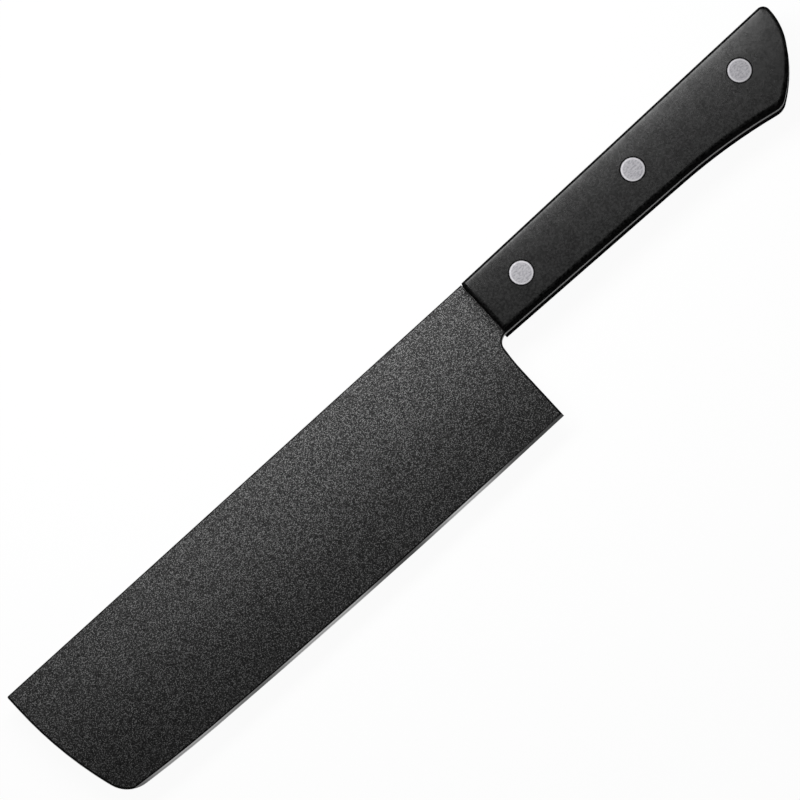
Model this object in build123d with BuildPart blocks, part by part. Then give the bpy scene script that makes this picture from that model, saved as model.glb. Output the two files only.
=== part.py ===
from build123d import *
import math
import os

# Nakiri knife lying on its right side, in millimetres.
# +X runs along the knife towards the tip, +Y towards the cutting edge and +Z up, out of the
# left face. The origin is the middle of its length and width, on the plane it lies on.

# Overall lengths, along the spine
blade_length = 170.0  # heel to tip
neck_length = 3.8  # bare steel between the scales and the heel
handle_length = 117.25  # front end of the scales to the butt
overall_length = handle_length + neck_length + blade_length

# Depths, square to the spine
blade_depth = 47.8  # spine to the lowest point of the edge
butt_rise = 0.66  # the handle's top line ends this far above the line of the spine
overall_width = butt_rise + blade_depth

# Cutting edge: a long shallow curve, then a tighter one that lifts to the tip
edge_curve_radius = 3100.0
edge_low_distance = 41.5  # lowest point of the edge, ahead of the heel
tip_curve_length = 38.5  # the tighter curve starts this far behind the tip
tip_corner_rise = 3.45  # tip corner above the lowest point of the edge
tip_corner_setback = 6.75  # tip corner behind the foremost point
tip_corner_radius = 9.0
tip_flat_depth = 5.0  # straight start of the front, below the spine
tip_point_radius = 0.4
heel_straight_depth = 30.0  # the heel is straight from the edge up to here, then leans back
heel_lean = 1.0  # by the line of the belly, before the choil is rounded
choil_radius = 3.4

# Steel section
steel_thickness = 2.0
spine_rounding = 0.3
grind_width = 28.0  # ground thinner this far up from the edge, and flat above
bevel_width = 1.15  # of the cutting bevel, up from the edge
bevel_thickness = 0.45  # where the bevel starts
edge_land = 0.03  # what is left at the very edge

# Handle outline, depths below the line of the spine
shoulder_depth = 0.67  # the handle's top line starts this far below the spine
belly_front_depth = 18.85
belly_straight_length = 67.0
belly_straight_depth = 20.2
belly_corner_depth = 24.3
belly_corner_distance = 15.7  # belly corner ahead of the butt
belly_corner_radius = 5.0
butt_top_radius = 2.3
butt_straight_length = 0.15  # of the butt, between its top rounding and its curve
butt_curve_radius = 19.5
butt_curve_angle = 35.0

# Scales
handle_thickness = 14.5  # both scales and the tang
bond_line = 0.02  # film of adhesive on each side of the tang
scale_edge_radius = 0.9

# Two-part cutlery rivets
front_rivet_setback = 14.45  # behind the front end of the scales
rear_rivet_distance = 18.2  # ahead of the butt
middle_rivet_share = 0.51  # of the way from the front rivet to the rear one
front_rivet_depth = 10.13
rear_rivet_depth = 9.24
rivet_head_radius = 3.5
rivet_head_thickness = 1.6
rivet_head_chamfer = 0.15
rivet_tube_radius = 2.2
rivet_pin_radius = 1.5
rivet_clearance = 0.03  # all round a head, a tube and a pin
tang_hole_clearance = 0.15
rivet_seat_gap = 0.02  # under a head
rivet_end_gap = 0.3  # past the end of a tube
pin_end_gap = 0.8  # past the end of a pin
pin_point_chamfer = 0.3

cut_overrun = 2.0

# Places
tip_x = overall_length / 2
butt_x = -overall_length / 2
front_x = butt_x + handle_length
heel_x = front_x + neck_length
low_x = heel_x + edge_low_distance
edge_y = overall_width / 2
spine_y = edge_y - blade_depth
mid_z = handle_thickness / 2
half_steel = steel_thickness / 2
spine_tip = (tip_x, spine_y)
tip_corner = (tip_x - tip_corner_setback, edge_y - tip_corner_rise)
shoulder = (front_x, spine_y + shoulder_depth)
belly_corner = (butt_x + belly_corner_distance, spine_y + belly_corner_depth)
butt_corner = (butt_x, spine_y - butt_rise)


def edge_curve_y(x):
    """Y of the long shallow curve of the edge at x."""
    return edge_y - edge_curve_radius + math.sqrt(edge_curve_radius**2 - (x - low_x) ** 2)


def belly_y(x):
    """Y of the straight front stretch of the handle's belly at x."""
    fall = (belly_straight_depth - belly_front_depth) / belly_straight_length
    return spine_y + belly_front_depth + (front_x - x) * fall


def edge_line(start_x):
    """The cutting edge from start_x to the tip corner, before that corner is rounded."""
    curve_end_x = tip_x - tip_curve_length
    middle_x = (start_x + curve_end_x) / 2
    long_curve = ThreePointArc(
        (start_x, edge_curve_y(start_x)),
        (middle_x, edge_curve_y(middle_x)),
        (curve_end_x, edge_curve_y(curve_end_x)),
    )
    return TangentArc(long_curve @ 1, tip_corner, tangent=long_curve % 1)


def handle_line(start_x):
    """Belly, butt and top of the handle, from start_x on the belly to the shoulder."""
    belly_end = (front_x - belly_straight_length, spine_y + belly_straight_depth)
    straight = Line((start_x, belly_y(start_x)), belly_end)
    TangentArc(straight @ 1, belly_corner, tangent=straight % 1)
    curve_start = (butt_x, spine_y - butt_rise + butt_top_radius + butt_straight_length)
    butt_curve = JernArc(
        start=curve_start,
        tangent=(0, 1),
        radius=butt_curve_radius,
        arc_size=-butt_curve_angle,
    )
    TangentArc(butt_curve @ 1, belly_corner, tangent=butt_curve % 1)
    Polyline(curve_start, butt_corner, shoulder)


def corner_at(sketch, x, y):
    """The vertex of a sketch nearest to x, y."""
    return sketch.vertices().sort_by_distance((x, y, 0))[0]


def round_butt(sketch):
    """Rounds the two corners at the butt of a handle outline."""
    fillet(corner_at(sketch, *butt_corner), radius=butt_top_radius)
    fillet(corner_at(sketch, *belly_corner), radius=belly_corner_radius)


choil_corner = (heel_x - heel_lean, belly_y(heel_x - heel_lean))
rear_rivet_setback = handle_length - rear_rivet_distance
rivet_places = {}
for name, share in (("front", 0), ("middle", middle_rivet_share), ("rear", 1)):
    setback = front_rivet_setback + share * (rear_rivet_setback - front_rivet_setback)
    depth = front_rivet_depth + share * (rear_rivet_depth - front_rivet_depth)
    rivet_places[name] = (front_x - setback, spine_y + depth)


# Blade and full tang, one piece of steel strip
mid_plane = Plane.XY.offset(mid_z)
with BuildPart() as blade:
    with BuildSketch(mid_plane) as blade_plan:
        with BuildLine():
            edge_line(heel_x)
            front = Line(spine_tip, (tip_x, spine_y + tip_flat_depth))
            TangentArc(front @ 1, tip_corner, tangent=front % 1)
            heel = Line((heel_x, edge_curve_y(heel_x)), (heel_x, spine_y + heel_straight_depth))
            TangentArc(heel @ 1, choil_corner, tangent=heel % 1)
            handle_line(choil_corner[0])
            Polyline(shoulder, (front_x, spine_y), spine_tip)
        make_face()
        round_butt(blade_plan)
        fillet(corner_at(blade_plan, *tip_corner), radius=tip_corner_radius)
        fillet(corner_at(blade_plan, *spine_tip), radius=tip_point_radius)
        fillet(corner_at(blade_plan, *choil_corner), radius=choil_radius)
    extrude(amount=half_steel, both=True)
    # The rounding runs on from the spine round the tip, and ends at the heel's sharp corner
    level_edges = blade.edges().filter_by(Axis.X)
    fillet(level_edges.filter_by_position(Axis.X, front_x, tip_x), radius=spine_rounding)

    # Both faces are ground on a curve that starts flat, then bevelled to the edge. The cut
    # follows the edge, and runs off the tip in a straight line.
    with BuildLine(mid_plane) as edge_path:
        edge = edge_line(front_x)
        Line(edge @ 1, edge @ 1 + (edge % 1) * blade_depth)
    path = edge_path.wire()
    with BuildSketch(Plane(origin=path @ 0, x_dir=(0, 0, 1), z_dir=path % 0)):
        with BuildLine():
            bevel_top = (bevel_thickness / 2, bevel_width)
            slope = (bevel_thickness - edge_land) / 2 / bevel_width
            grind = TangentArc((half_steel, grind_width), bevel_top, tangent=(0, -1))
            Polyline(
                grind @ 1,
                (edge_land / 2 - cut_overrun * slope, -cut_overrun),
                (half_steel + cut_overrun, -cut_overrun),
                (half_steel + cut_overrun, grind_width),
                grind @ 0,
            )
        make_face()
        mirror(about=Plane.YZ)
    sweep(path=path, mode=Mode.SUBTRACT)

    # Rivet holes in the tang
    with Locations(*[(x, y, mid_z + half_steel) for x, y in rivet_places.values()]):
        Hole(radius=rivet_tube_radius + tang_hole_clearance)

# Handle scales, moulded alike, each a mirror image of the other
seat_depth = rivet_head_thickness + rivet_seat_gap
with BuildPart() as left_scale:
    with BuildSketch(Plane.XY.offset(mid_z + half_steel + bond_line)) as scale_plan:
        with BuildLine():
            handle_line(front_x)
            Line((front_x, belly_y(front_x)), shoulder)
        make_face()
        round_butt(scale_plan)
    extrude(amount=mid_z - half_steel - bond_line)
    outer_face = left_scale.faces().sort_by(Axis.Z)[-1]
    fillet(outer_face.edges(), radius=scale_edge_radius)
    with Locations(*[(x, y, handle_thickness) for x, y in rivet_places.values()]):
        CounterBoreHole(
            radius=rivet_tube_radius + rivet_clearance,
            counter_bore_radius=rivet_head_radius + rivet_clearance,
            counter_bore_depth=seat_depth,
        )

with BuildPart() as right_scale:
    mirror(left_scale.part, about=mid_plane)

pieces = {"blade": blade, "left_scale": left_scale, "right_scale": right_scale}

# Rivets: a pin with a head on the left, driven into a tube with a head on the right
pin_length = handle_thickness - 2 * rivet_head_thickness - pin_end_gap
tube_length = handle_thickness - 2 * rivet_head_thickness - rivet_end_gap
for name, (x, y) in rivet_places.items():
    with BuildPart() as male:
        with BuildSketch(Plane((x, y, handle_thickness))):
            Circle(rivet_head_radius)
        extrude(amount=-rivet_head_thickness)
        chamfer(male.edges().group_by(Axis.Z)[-1], length=rivet_head_chamfer)
        with BuildSketch(Plane((x, y, handle_thickness - rivet_head_thickness))):
            Circle(rivet_pin_radius)
        extrude(amount=-pin_length)
        chamfer(male.edges().group_by(Axis.Z)[0], length=pin_point_chamfer)
    pieces[f"{name}_rivet_male"] = male

    with BuildPart() as female:
        with BuildSketch(Plane((x, y, 0))):
            Circle(rivet_head_radius)
        extrude(amount=rivet_head_thickness)
        chamfer(female.edges().group_by(Axis.Z)[0], length=rivet_head_chamfer)
        with BuildSketch(Plane((x, y, rivet_head_thickness))):
            Circle(rivet_tube_radius)
        extrude(amount=tube_length)
        with BuildSketch(Plane((x, y, rivet_head_thickness))):
            Circle(rivet_pin_radius + rivet_clearance)
        extrude(amount=tube_length, mode=Mode.SUBTRACT)
    pieces[f"{name}_rivet_female"] = female

os.makedirs("parts", exist_ok=True)
for name, piece in pieces.items():
    piece.part.label = name
    export_step(piece.part, f"parts/{name}.step")
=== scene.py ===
import math

import bmesh
import bpy
from mathutils import Matrix, Vector
from mathutils.geometry import intersect_sphere_sphere_2d
from mathutils.kdtree import KDTree


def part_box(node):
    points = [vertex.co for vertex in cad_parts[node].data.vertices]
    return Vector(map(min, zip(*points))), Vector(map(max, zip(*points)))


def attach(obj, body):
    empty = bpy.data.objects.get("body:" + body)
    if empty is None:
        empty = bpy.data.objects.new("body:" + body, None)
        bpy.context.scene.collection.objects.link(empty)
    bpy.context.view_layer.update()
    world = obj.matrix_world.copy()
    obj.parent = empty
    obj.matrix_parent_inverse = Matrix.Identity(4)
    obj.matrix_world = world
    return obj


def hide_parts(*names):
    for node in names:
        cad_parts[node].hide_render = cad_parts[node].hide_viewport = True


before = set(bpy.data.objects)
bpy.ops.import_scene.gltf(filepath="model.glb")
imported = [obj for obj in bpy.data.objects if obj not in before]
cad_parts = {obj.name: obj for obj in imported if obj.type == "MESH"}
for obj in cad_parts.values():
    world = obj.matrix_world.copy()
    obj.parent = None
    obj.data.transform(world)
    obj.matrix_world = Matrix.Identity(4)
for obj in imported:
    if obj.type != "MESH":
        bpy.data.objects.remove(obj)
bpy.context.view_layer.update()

# The camera looks down on the knife's left face from four metres. It leans a little towards
# the cutting edge and the tip, and is turned so that the handle points up to the right.
lean_to_edge = math.radians(9.56)
lean_to_tip = math.radians(4.0)
picture_turn = math.radians(42.24)
camera_distance = 4.0
sight_range = 20.0
lens_length = 635.8  # millimetres, on a sensor 36 mm wide
handle_mid_height = 0.00725
shift_left = 0.01226
shift_up = 0.00354
toward_camera = Vector((math.sin(lean_to_tip), math.sin(lean_to_edge), 0))
toward_camera.z = math.sqrt(1 - toward_camera.length_squared)
along_knife = (Vector((1, 0, 0)) - toward_camera * toward_camera.x).normalized()
across_knife = toward_camera.cross(along_knife)
picture_right = across_knife * math.sin(picture_turn) - along_knife * math.cos(picture_turn)
picture_up = -across_knife * math.cos(picture_turn) - along_knife * math.sin(picture_turn)
handle_middle = Vector((0, 0, handle_mid_height))
picture_middle = handle_middle - picture_right * shift_left + picture_up * shift_up

camera = bpy.data.objects.new("camera", bpy.data.cameras.new("camera"))
camera.data.lens = lens_length
camera.data.clip_end = sight_range
camera.matrix_world = Matrix.Translation(
    picture_middle + toward_camera * camera_distance
) @ Matrix((picture_right, picture_up, toward_camera)).transposed().to_4x4()
bpy.context.scene.collection.objects.link(camera)
bpy.context.scene.camera = camera
bpy.context.scene.view_settings.view_transform = "Standard"


# Blade and full tang, punched from one strip of stainless steel. Both faces are ground thin
# towards the edge and covered with a matt black non-stick coating full of fine grey specks.
# The cutting bevel is ground through the coating, so it is bare, and so is the tang's rim.
class Value:
    """What one output of a node gives, over the surface of a piece."""

    def __init__(self, finish, socket):
        self.finish = finish
        self.socket = socket

    def maths(self, operation, *others):
        terms = dict(enumerate((self, *others)))
        return self.finish.node("ShaderNodeMath", {"operation": operation}, terms)

    def __add__(self, other):
        return self.maths("ADD", other)

    __radd__ = __add__

    def __sub__(self, other):
        return self.maths("SUBTRACT", other)

    def __rsub__(self, other):
        return self.finish.node("ShaderNodeMath", {"operation": "SUBTRACT"}, {0: other, 1: self})

    def __mul__(self, other):
        return self.maths("MULTIPLY", other)

    __rmul__ = __mul__

    def larger(self, other):
        return self.maths("MAXIMUM", other)

    def smaller(self, other):
        return self.maths("MINIMUM", other)

    def rising(self, low, high):
        """0 up to low, 1 from high on, and a smooth step between them."""
        return self.finish.node(
            "ShaderNodeMapRange",
            {"interpolation_type": "SMOOTHSTEP"},
            {"Value": self, "From Min": low, "From Max": high},
        )

    def falling(self, low, high):
        """1 up to low, 0 from high on, and a smooth step between them."""
        return 1 - self.rising(low, high)


class Finish:
    """A material, and one method that adds any node to it."""

    def __init__(self, name):
        self.material = bpy.data.materials.new(name)
        self.material.use_nodes = True
        self.tree = self.material.node_tree
        self.tree.nodes.clear()
        self.place = self.node("ShaderNodeTexCoord", output="Object")

    def node(self, kind, settings=(), sockets=(), output=0):
        node = self.tree.nodes.new(kind)
        for name, setting in dict(settings).items():
            setattr(node, name, setting)
        for name, value in dict(sockets).items():
            if isinstance(value, Value):
                self.tree.links.new(value.socket, node.inputs[name])
            else:
                node.inputs[name].default_value = value
        return Value(self, node.outputs[output])

    def axis(self, name):
        return self.node("ShaderNodeSeparateXYZ", {}, {0: self.place}, output=name)

    def stretched(self, *stretch):
        """The place on the piece, with a pattern on it drawn out along the axes."""
        return self.node("ShaderNodeMapping", {}, {"Vector": self.place, "Scale": stretch})

    def noise(self, size, place=None, detail=2.0):
        """Cloudy variation from 0 to 1, about 0.5, with spots of about the given size."""
        return self.node(
            "ShaderNodeTexNoise",
            {},
            {"Vector": place or self.place, "Scale": 1 / size, "Detail": detail},
        )

    def spots(self, size):
        """Distance from the nearest of many scattered spots, and that spot's tone, 0 to 1."""
        distance = self.node(
            "ShaderNodeTexVoronoi", {}, {"Vector": self.place, "Scale": 1 / size}
        )
        colour = Value(self, distance.socket.node.outputs["Color"])
        return distance, self.node("ShaderNodeSeparateXYZ", {}, {0: colour})

    def distance(self, x, y):
        """Distance from the upright axis through x, y."""
        flat = self.node(
            "ShaderNodeVectorMath", {"operation": "MULTIPLY"}, {0: self.place, 1: (1, 1, 0)}
        )
        return self.node(
            "ShaderNodeVectorMath", {"operation": "DISTANCE"}, {0: flat, 1: (x, y, 0)}, "Value"
        )

    def length(self, along, across):
        """Length of the line with these two parts."""
        both = self.node("ShaderNodeCombineXYZ", {}, {0: along, 1: across})
        return self.node("ShaderNodeVectorMath", {"operation": "LENGTH"}, {0: both}, "Value")

    def blend(self, share, first, second):
        """A colour that is the first where share is 0 and the second where it is 1."""
        return self.node(
            "ShaderNodeMix", {"data_type": "RGBA"}, {0: share, 6: first, 7: second}, output=2
        )

    def bump(self, height, depth, strength=1.0):
        """Surface direction of a relief that is depth high where height is 1."""
        return self.node(
            "ShaderNodeBump", {}, {"Strength": strength, "Distance": depth, "Height": height}
        )

    def surface(self, **sockets):
        named = {name.replace("_", " "): value for name, value in sockets.items()}
        self.shade_with(self.node("ShaderNodeBsdfPrincipled", {}, named))

    def shade_with(self, shader):
        output = self.tree.nodes.new("ShaderNodeOutputMaterial")
        self.tree.links.new(shader.socket, output.inputs["Surface"])


def grey(level):
    return (level, level, level, 1.0)


mm = 0.001
blade_depth = 47.8 * mm
neck_length = 3.8 * mm
edge_radius = 3100 * mm
edge_low_distance = 41.5 * mm  # lowest point of the edge, ahead of the heel
tip_curve_length = 38.5 * mm  # the edge curves more tightly from here to the tip
tip_corner_setback = 6.75 * mm
tip_corner_rise = 3.45 * mm
tip_flat_depth = 5 * mm  # straight start of the front, below the spine
corner_radius = 9 * mm
heel_straight_depth = 30 * mm  # the heel is straight from the edge up to here
heel_radius = 63.3 * mm
choil_setback = 3.9 * mm
choil_depth = 22.25 * mm
choil_radius = 3.4 * mm

# The outline, as the arcs that the finishes are measured from
tip_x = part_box("blade")[1][0]
edge_y = 24.23 * mm
spine_y = edge_y - blade_depth
front_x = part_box("left_scale")[1][0]
heel_x = front_x + neck_length
edge_centre = Vector((heel_x + edge_low_distance, edge_y - edge_radius))
tip_curve_x = tip_x - tip_curve_length
tip_curve_start = Vector(
    (tip_curve_x, edge_centre.y + math.sqrt(edge_radius**2 - (tip_curve_x - edge_centre.x) ** 2))
)
tip_corner = Vector((tip_x - tip_corner_setback, edge_y - tip_corner_rise))
to_corner = tip_corner - tip_curve_start
inward = (edge_centre - tip_curve_start).normalized()
tip_curve_radius = to_corner.length_squared / (2 * to_corner.dot(inward))
tip_curve_centre = tip_curve_start + inward * tip_curve_radius
front_start_y = spine_y + tip_flat_depth
front_drop = tip_corner.y - front_start_y
front_radius = (front_drop**2 + tip_corner_setback**2) / (2 * tip_corner_setback)
front_centre = Vector((tip_x - front_radius, front_start_y))
corner_centre = max(
    intersect_sphere_sphere_2d(
        front_centre,
        front_radius - corner_radius,
        tip_curve_centre,
        tip_curve_radius - corner_radius,
    ),
    key=lambda place: place.x,
)
front_outward = (corner_centre - front_centre).normalized()
edge_outward = (corner_centre - tip_curve_centre).normalized()
heel_lean_y = spine_y + heel_straight_depth
choil_centre = Vector((heel_x - choil_setback, spine_y + choil_depth))

coated_steel = Finish("coated_steel")
x = coated_steel.axis("X")
y = coated_steel.axis("Y")

# Depth in from the cutting edge, a long arc and a tighter one that meet without a corner
arc_join = 0.1 * mm
past_tip_curve = x.rising(tip_curve_x - arc_join, tip_curve_x + arc_join)
from_long_edge = edge_radius - coated_steel.distance(*edge_centre)
from_tip_edge = tip_curve_radius - coated_steel.distance(*tip_curve_centre)
from_edge = from_long_edge * (1 - past_tip_curve) + from_tip_edge * past_tip_curve

# Depth in from the rest of the outline: the spine, the tip, and the heel and choil
past_centre_x = x - corner_centre.x
past_centre_y = y - corner_centre.y
past_front = past_centre_y * front_outward.x - past_centre_x * front_outward.y
past_edge = past_centre_x * edge_outward.y - past_centre_y * edge_outward.x
in_corner = past_front.rising(0, arc_join) * past_edge.rising(0, arc_join)
below_start = (y - front_start_y).larger(0)
from_front = front_radius - coated_steel.length(x - front_centre.x, below_start)
from_corner = corner_radius - coated_steel.distance(*corner_centre)
from_tip = from_front * (1 - in_corner) + from_corner * in_corner
above_lean = (heel_lean_y - y).larger(0)
from_heel = coated_steel.length(x - heel_x + heel_radius, above_lean) - heel_radius
beside_neck = y.falling(choil_centre.y - 0.5 * mm, choil_centre.y)
from_choil = coated_steel.distance(*choil_centre) - choil_radius
out_of_play = 5 * mm  # beside the neck the heel's arc is left out, and only the choil counts
from_back = (from_heel + beside_neck * out_of_play).smaller(from_choil)
spine_share = 1.5  # the line along the spine is narrower than the others by this
from_rim = ((y - spine_y) * spine_share).smaller(from_tip).smaller(from_back)
on_wall = from_rim.falling(0.02 * mm, 0.06 * mm)

# Coating: grey specks of many tones on black, darkened on the narrow walls as painted shade
speck_size = 0.3 * mm
grain_size = 0.4 * mm
from_speck, speck_tone = coated_steel.spots(speck_size)
grain = coated_steel.noise(grain_size, detail=1)
specks = from_speck.falling(0, 0.66) * speck_tone * (speck_tone * 1.2 + 0.8)
# Painted shade: the specks are darkened on the narrow walls
specks = (specks + grain.rising(0.3, 0.8) * 0.1 + 0.015) * (1 - on_wall * 0.65)
coating_colour = coated_steel.blend(specks, grey(0.008), grey(0.155))

# Bare steel: the bevel and the tang's rim. The bevel's colour is partly real scuffing and partly
# painted reflection, brighter and darker along its length
bare_bevel = from_edge.falling(0.84 * mm, 0.92 * mm)
# Painted shade: a darker stripe from 0.2 to 0.5 mm in from the edge, standing in for a honed strip
# that meets the light at another angle
honed_strip_shade = from_edge.rising(0.2 * mm, 0.3 * mm) * from_edge.falling(0.4 * mm, 0.5 * mm)
bare_tang = x.falling(front_x - 0.4 * mm, front_x - 0.3 * mm)
bare = bare_bevel.larger(bare_tang)
pass_start_x = 11.7 * mm
pass_length = 52.5 * mm
# Painted reflection: the bevel brightens and darkens with each pass of the grinding wheel and
# towards the tip, in place of the bevel's changing angle
pass_reflection = ((x - pass_start_x) * (math.tau / pass_length)).maths("COSINE")
ground_stroke = coated_steel.noise(0.25 * mm, coated_steel.stretched(1, 0.06, 0.06))
ground_wave = coated_steel.noise(24 * mm, detail=1)
toward_tip = x.rising(heel_x + 30 * mm, heel_x + 110 * mm)
scuffing_and_reflection = pass_reflection * (0.36 - toward_tip * 0.11) + ground_wave * 0.6 + toward_tip * 0.24 + 0.2
scuffing_and_reflection = scuffing_and_reflection.rising(0, 1) * x.rising(heel_x - 5 * mm, heel_x + 40 * mm)
scuffing_and_reflection = scuffing_and_reflection * (1 - x.rising(tip_x - 20 * mm, tip_x - 8 * mm) * 0.35)
shine = (scuffing_and_reflection * 0.85 + ground_stroke * 0.15) * (1 - honed_strip_shade * 0.45)
bevel_colour = coated_steel.blend(shine, grey(0.14), grey(0.75))
# Painted shade: the tang's bare rim gets a far darker steel colour than the bevel
shaded_tang_colour = coated_steel.blend(ground_stroke, grey(0.032), grey(0.12))
steel_colour = coated_steel.blend(bare_tang, bevel_colour, shaded_tang_colour)

# The coating is darkened by the grinding's heat above the bevel. A black line just inside the rim
# is painted shade, standing in for the dark rounded rim
burnt_line = from_edge.falling(1.2 * mm, 1.35 * mm) * x.rising(heel_x, heel_x + 45 * mm)
painted_dark_rim = (1 - on_wall) * from_rim.falling(0.45 * mm, 0.6 * mm)
black_line = burnt_line.larger(painted_dark_rim) * (1 - bare)
colour = coated_steel.blend(bare, coating_colour, steel_colour)
colour = coated_steel.blend(black_line, colour, grey(0.003))
bare_roughness = 0.31 + scuffing_and_reflection * 0.22 + bare_tang * 0.22
coated_steel.surface(
    Base_Color=colour,
    Metallic=0.97,
    Roughness=0.378 * (1 - bare) + bare_roughness * bare,
    Normal=coated_steel.bump(grain * (1 - bare), 0.012 * mm),
)
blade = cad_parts["blade"]
blade.material_slots[0].material = coated_steel.material


# Handle scales, one for each side of the tang, moulded in matt black plastic, then bonded and
# riveted on. Their long edges are rounded, and the outer faces fall a little towards the top
# line and are rubbed to a soft sheen. The walls are left as they came from the mould.
scale_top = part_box("left_scale")[1][2]
tang_mid_z = (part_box("blade")[0][2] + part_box("blade")[1][2]) / 2
edge_rounding = 0.9 * mm
edge_rounding_steps = 7
wall_cut = scale_top - 1.3 * mm  # below the CAD scale's own rounding
crown_drop = 0.065 * mm
crown_reach = 9 * mm
rubbed_drop = 0.15 * mm
rubbed_reach = 0.6 * mm
handle_top_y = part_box("left_scale")[0][1] + 1.5 * mm  # the top line lies above this
rivet_hole_radius = 3.6 * mm
same_place = 0.001 * mm
near_place = 0.02 * mm  # corners this near a cut are taken to lie on it
same_plane = math.radians(0.3)
sharp_angle = math.radians(28)
level = 0.999  # the upward part of a level face's direction, at least
rim_step = 0.25 * mm
face_rings = (0.3 * mm, 0.35 * mm, 0.4 * mm)
face_grid = (2.4 * mm, 1.8 * mm)


def box_middle(name):
    low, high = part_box(name)
    return (Vector(low) + Vector(high)) / 2


rivet_middles = {name: box_middle(name + "_rivet_male") for name in ("front", "middle", "rear")}


def face_drop(from_top):
    """How far the face has fallen towards the handle's top line, at a distance from it."""
    rubbed = rubbed_drop * math.exp(-from_top / rubbed_reach)
    return rubbed + crown_drop * max(0, 1 - from_top / crown_reach) ** 2


def at_rivet_hole(edge):
    middle = (edge.verts[0].co + edge.verts[1].co) / 2
    return any((middle - hole).xy.length < rivet_hole_radius for hole in rivet_middles.values())


def on_face(form):
    """The faces, edges and corners that make up the level top of a form."""
    faces = [face for face in form.faces if face.normal.z > level and face.verts[0].co.z > wall_cut]
    edges = {edge for face in faces for edge in face.edges}
    verts = {vert for face in faces for vert in face.verts}
    return faces + list(edges) + list(verts)


def add_piece(name, form, finish, *nodes):
    """A new piece from a finished form, standing for some of the CAD's nodes."""
    mesh = bpy.data.meshes.new(name)
    form.to_mesh(mesh)
    form.free()
    mesh.shade_smooth()
    mesh.set_sharp_from_angle(angle=sharp_angle)
    mesh.materials.append(finish.material)
    piece = bpy.data.objects.new(name, mesh)
    bpy.context.scene.collection.objects.link(piece)
    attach(piece, "root")
    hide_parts(*nodes)


def round_edges(form, edges, offset, segments):
    bmesh.ops.bevel(
        form,
        geom=edges,
        offset=offset,
        offset_type="OFFSET",
        segments=segments,
        profile=0.5,
        material=-1,
        affect="EDGES",
    )


def square_walls(form):
    """Raises a scale's walls straight to its top, and gives their edges at the holes and rim."""
    bmesh.ops.bisect_plane(
        form,
        geom=form.verts[:] + form.edges[:] + form.faces[:],
        dist=same_place,
        plane_co=(0, 0, wall_cut),
        plane_no=(0, 0, 1),
        clear_outer=True,
    )
    cut_edges = [edge for edge in form.edges if edge.is_boundary]
    raised = bmesh.ops.extrude_edge_only(form, edges=cut_edges)["geom"]
    raised_verts = [item for item in raised if isinstance(item, bmesh.types.BMVert)]
    bmesh.ops.translate(form, verts=raised_verts, vec=(0, 0, scale_top - wall_cut))
    raised_edges = [item for item in raised if isinstance(item, bmesh.types.BMEdge)]
    hole_edges = [edge for edge in raised_edges if at_rivet_hole(edge)]
    rim_edges = [edge for edge in raised_edges if not at_rivet_hole(edge)]
    return hole_edges, rim_edges


def nearest_of(places):
    tree = KDTree(len(places))
    for place in places:
        tree.insert(place, 0)
    tree.balance()
    return tree


def rim_places(rim_edges):
    """Places close together on the whole rim, and on the handle's top line, to measure from."""
    whole, top_line = [], []
    for edge in rim_edges:
        start, end = (vert.co.copy() for vert in edge.verts)
        steps = max(1, math.ceil(edge.calc_length() / rim_step))
        places = [start.lerp(end, step / steps) for step in range(steps)]
        whole += places
        if max(start.y, end.y) < handle_top_y:
            top_line += places
    return nearest_of(whole), nearest_of(top_line)


def close_face(form, hole_edges, rim_edges):
    """Closes the top with a flat face that is rounded at the rim and open at the holes."""
    bmesh.ops.edgeloop_fill(form, edges=rim_edges)
    round_edges(form, rim_edges, edge_rounding, edge_rounding_steps)
    bmesh.ops.recalc_face_normals(form, faces=form.faces)
    faces = [face for face in form.faces if face.calc_center_median().z > scale_top - 0.01 * mm]
    face = max(faces, key=lambda face: face.calc_area())
    for width in face_rings:
        bmesh.ops.inset_region(
            form, faces=[face], thickness=width, use_even_offset=True, use_boundary=True
        )
    face_edges = face.edges[:]
    bmesh.ops.delete(form, geom=[face], context="FACES_ONLY")
    bmesh.ops.triangle_fill(form, use_beauty=True, edges=face_edges + hole_edges, normal=(0, 0, 1))


def divide_face(form):
    """Cuts the flat face into a grid, fine enough to be crowned."""
    low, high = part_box("left_scale")
    for axis, spacing in enumerate(face_grid):
        for step in range(1, round((high[axis] - low[axis]) / spacing)):
            place, direction = [0, 0, 0], [0, 0, 0]
            place[axis] = low[axis] + step * spacing
            direction[axis] = 1
            bmesh.ops.bisect_plane(
                form, geom=on_face(form), dist=near_place, plane_co=place, plane_no=direction
            )


def scale_form():
    """The left scale, with the walls of its CAD node and a crowned face on them."""
    form = bmesh.new()
    form.from_mesh(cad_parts["left_scale"].data)
    bmesh.ops.remove_doubles(form, verts=form.verts, dist=same_place)
    bmesh.ops.dissolve_limit(form, angle_limit=same_plane, verts=form.verts, edges=form.edges)
    hole_edges, rim_edges = square_walls(form)
    rim, top_line = rim_places(rim_edges)
    close_face(form, hole_edges, rim_edges)
    divide_face(form)
    from_rim = form.verts.layers.float.new("from_rim")
    for vert in form.verts:
        if vert.co.z > wall_cut + 0.1 * mm:
            place = (vert.co.x, vert.co.y, scale_top)
            vert[from_rim] = rim.find(place)[2]
            vert.co.z -= face_drop(top_line.find(place)[2])
    return form


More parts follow.
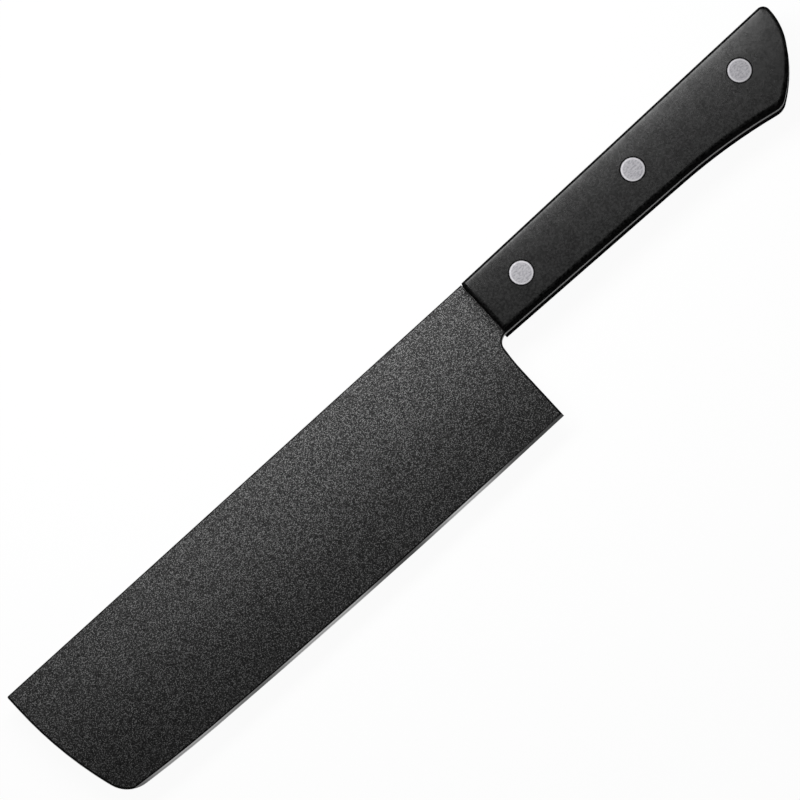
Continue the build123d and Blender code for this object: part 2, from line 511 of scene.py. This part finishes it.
scale_plastic = Finish("scale_plastic")
from_rim = scale_plastic.node(
    "ShaderNodeAttribute", {"attribute_name": "from_rim"}, output="Fac"
)
butt_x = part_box("left_scale")[0][0]
# Painted highlight: the sheen grows towards the butt, standing in for the lamp's highlight there,
# on top of the rubbing
butt_highlight = scale_plastic.axis("X").falling(butt_x + 2 * mm, butt_x + 35 * mm)
rubbed_face = from_rim.rising(0.72 * mm, 0.94 * mm)
rubbed_grain = scale_plastic.noise(0.7 * mm, detail=1).rising(0.3, 0.7)
hand_marks = scale_plastic.noise(4 * mm, detail=2).rising(0.3, 0.7)
rubbing_and_highlight = (rubbed_grain * 0.13 + hand_marks * 0.12 + 0.46) * (0.56 + butt_highlight * 0.17)
# Less sheen in a ring round each rivet: the dark gap of the joint, and painted shade there
rivet_gap_shade = sum(
    scale_plastic.distance(hole.x, hole.y).falling(3.75 * mm, 3.95 * mm)
    for hole in rivet_middles.values()
)
scale_plastic.surface(
    Base_Color=scale_plastic.blend(rubbed_grain, grey(0.0015), grey(0.0095)),
    Roughness=0.7,
    Specular_IOR_Level=0.0,
    Coat_Weight=rubbed_face * (1 - rivet_gap_shade) * rubbing_and_highlight,
    Coat_IOR=1.68,
    Coat_Roughness=0.216,
    Normal=scale_plastic.bump(rubbed_grain, 0.01 * mm),
)

left_form = scale_form()
right_form = left_form.copy()
bmesh.ops.scale(right_form, vec=(1, 1, -1), verts=right_form.verts)
bmesh.ops.translate(right_form, vec=(0, 0, 2 * tang_mid_z), verts=right_form.verts)
bmesh.ops.reverse_faces(right_form, faces=right_form.faces)
add_piece("left_handle_scale", left_form, scale_plastic, "left_scale")
add_piece("right_handle_scale", right_form, scale_plastic, "right_scale")


# Cutlery rivets, three through the handle. Each is a pin with a head on the left, pressed into
# a tube with a head on the right. The stainless heads are ground flush and brushed.
head_radius = 3.5 * mm
head_thickness = 1.6 * mm
head_dome = 0.012 * mm
head_rounding = 0.15 * mm
head_rounding_steps = 4
pin_radius = 1.5 * mm
pin_point = 0.3 * mm
tube_radius = 2.2 * mm
tube_bore_radius = 1.53 * mm
turning_steps = 72

rivet_steel = Finish("rivet_steel")
brushing = rivet_steel.noise(0.5 * mm, rivet_steel.stretched(0.6, 1, 1), detail=2)
brushing = brushing.rising(0.25, 0.75)
from_centres = [rivet_steel.distance(hole.x, hole.y) for hole in rivet_middles.values()]
# A lighter ring just inside each head's rim
lighter_rim_ring = sum(
    from_centre.rising(2.85 * mm, 3.0 * mm) * from_centre.falling(3.3 * mm, 3.4 * mm)
    for from_centre in from_centres
)
rivet_colour = rivet_steel.blend(brushing, (0.213, 0.209, 0.225, 1), (0.458, 0.452, 0.47, 1))
rivet_colour = rivet_steel.blend(lighter_rim_ring, rivet_colour, (0.47, 0.463, 0.481, 1))
rivet_steel.surface(
    Base_Color=rivet_colour,
    Metallic=1.0,
    Roughness=0.64 + brushing * 0.12,
    Normal=rivet_steel.bump(brushing, 0.004 * mm, strength=0.5),
)


def turned_form(middle, profile):
    """A form turned about an upright axis, from its profile of radius and height."""
    form = bmesh.new()
    verts = [form.verts.new((middle.x + radius, middle.y, height)) for radius, height in profile]
    edges = [form.edges.new(pair) for pair in zip(verts, verts[1:])]
    bmesh.ops.spin(
        form,
        geom=verts + edges,
        cent=middle,
        axis=(0, 0, 1),
        angle=math.tau,
        steps=turning_steps,
        use_merge=True,
    )
    bmesh.ops.remove_doubles(form, verts=form.verts, dist=same_place)
    bmesh.ops.recalc_face_normals(form, faces=form.faces)
    return form


def rivet_form(middle, head_z, inward, shank):
    """Half a rivet: a domed head whose top is at head_z, and a shank given by its profile."""
    rim_z = head_z + inward * head_dome
    head = (
        (0, head_z),
        (head_radius / 3, head_z + inward * head_dome / 9),
        (head_radius * 2 / 3, head_z + inward * head_dome * 4 / 9),
        (head_radius, rim_z),
        (head_radius, head_z + inward * head_thickness),
    )
    form = turned_form(middle, head + shank)
    rim_edges = [
        edge
        for edge in form.edges
        if all(
            abs(vert.co.z - rim_z) < same_place
            and abs((vert.co - middle).xy.length - head_radius) < same_place
            for vert in edge.verts
        )
    ]
    round_edges(form, rim_edges, head_rounding, head_rounding_steps)
    return form


for name, middle in rivet_middles.items():
    low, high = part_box(name + "_rivet_male")
    top, pin_end = high[2], low[2]
    pin = (
        (pin_radius, top - head_thickness),
        (pin_radius, pin_end + pin_point),
        (pin_radius - pin_point, pin_end),
        (0, pin_end),
    )
    pin_form = rivet_form(middle, top, -1, pin)
    add_piece(name + "_rivet_pin", pin_form, rivet_steel, name + "_rivet_male")

    low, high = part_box(name + "_rivet_female")
    base, tube_end = low[2], high[2]
    bore_floor = base + head_thickness
    tube = (
        (tube_radius, bore_floor),
        (tube_radius, tube_end),
        (tube_bore_radius, tube_end),
        (tube_bore_radius, bore_floor),
        (0, bore_floor),
    )
    tube_form = rivet_form(middle, base, 1, tube)
    add_piece(name + "_rivet_tube", tube_form, rivet_steel, name + "_rivet_female")


# A plain white table, and soft studio light: a bright box lamp beyond the spine, which gives
# the handle its long highlight, and a dim even glow all round. None of it is part of the knife.
table_half_width = 3
lamp_place = Vector((-0.022, -0.129, 0.22))
lamp_width = 0.3
lamp_height = 0.09
lamp_brightness = 10.5
glow = 0.19

table_form = bmesh.new()
bmesh.ops.create_grid(table_form, x_segments=1, y_segments=1, size=table_half_width)
table_mesh = bpy.data.meshes.new("table")
table_form.to_mesh(table_mesh)
table_form.free()
table = bpy.data.objects.new("table", table_mesh)
bpy.context.scene.collection.objects.link(table)

# Seen by the camera, in reflections and through clear things, the table is nearly plain white
table_white = Finish("table_white")
seen_by_camera = table_white.node("ShaderNodeLightPath", output="Is Camera Ray")
seen_in_shine = table_white.node("ShaderNodeLightPath", output="Is Glossy Ray")
seen_through = table_white.node("ShaderNodeLightPath", output="Is Transmission Ray")
seen = seen_by_camera.larger(seen_in_shine).larger(seen_through)
lit = table_white.node("ShaderNodeBsdfDiffuse", {}, {"Color": grey(0.85)})
white = table_white.node("ShaderNodeEmission", {}, {"Color": grey(1.0), "Strength": 1.0})
table_white.shade_with(
    table_white.node("ShaderNodeMixShader", {}, {0: seen * 0.95, 1: lit, 2: white})
)
table_mesh.materials.append(table_white.material)

world = bpy.data.worlds.new("studio")
bpy.context.scene.world = world
world.use_nodes = True
world.node_tree.nodes["Background"].inputs["Color"].default_value = grey(glow)

lamp = bpy.data.lights.new("spine_side_lamp", "AREA")
lamp.shape = "RECTANGLE"
lamp.size = lamp_width
lamp.size_y = lamp_height
lamp.energy = lamp_brightness * math.pi * lamp_width * lamp_height
lamp_stand = bpy.data.objects.new("spine_side_lamp", lamp)
lamp_stand.location = lamp_place
lamp_stand.rotation_euler = lamp_place.to_track_quat("Z", "Y").to_euler()
lamp_stand.visible_camera = False
bpy.context.scene.collection.objects.link(lamp_stand)
